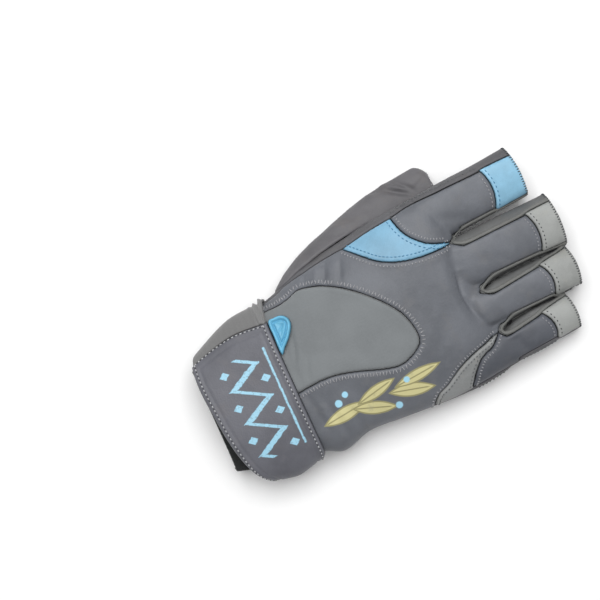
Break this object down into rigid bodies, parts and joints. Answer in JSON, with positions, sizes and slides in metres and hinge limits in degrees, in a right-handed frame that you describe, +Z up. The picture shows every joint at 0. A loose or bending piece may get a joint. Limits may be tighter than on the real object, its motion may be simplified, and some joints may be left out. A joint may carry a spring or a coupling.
{
  "type": "fingerless fitness glove",
  "caption": "Right-hand fingerless leather glove lying palm down, with a stretch insert on its back, coloured wedges and finger bands, and a wrist strap.",
  "frame": {"origin": "middle of the palm's flat underside, where the glove rests", "axes": "+Z up through the back of the hand, +Y towards the fingertips, +X towards the little finger"},
  "size_m": [0.1084, 0.1831, 0.032],
  "materials": {
    "charcoal_leather": "soft matte grain",
    "slate_leather": "soft satin grain",
    "blue_leather": "smooth satin",
    "grey_leather": "smooth satin",
    "gusset_leather": "soft matte grain",
    "stretch_fabric": "fine matte knit",
    "elastic_webbing": "ribbed matte",
    "hook_tape": "matte bristle",
    "lining": "matte pile"
  },
  "bodies": {
    "root": {"palm": "charcoal_leather", "thumb": "charcoal_leather", "back_panel": "slate_leather", "index_back": "slate_leather", "little_back": "slate_leather", "wrist_strap": "slate_leather", "stretch_panel": "stretch_fabric", "index_wedge": "blue_leather", "index_band": "blue_leather", "pull_tab": "blue_leather", "little_wedge": "grey_leather", "middle_band": "grey_leather", "ring_band": "grey_leather", "little_band": "grey_leather", "fourchette_index_middle": "gusset_leather", "fourchette_middle_ring": "gusset_leather", "fourchette_ring_little": "gusset_leather", "strap_elastic": "elastic_webbing", "hook_patch": "hook_tape", "cuff_lining": "lining"}
  },
  "joints": []
}
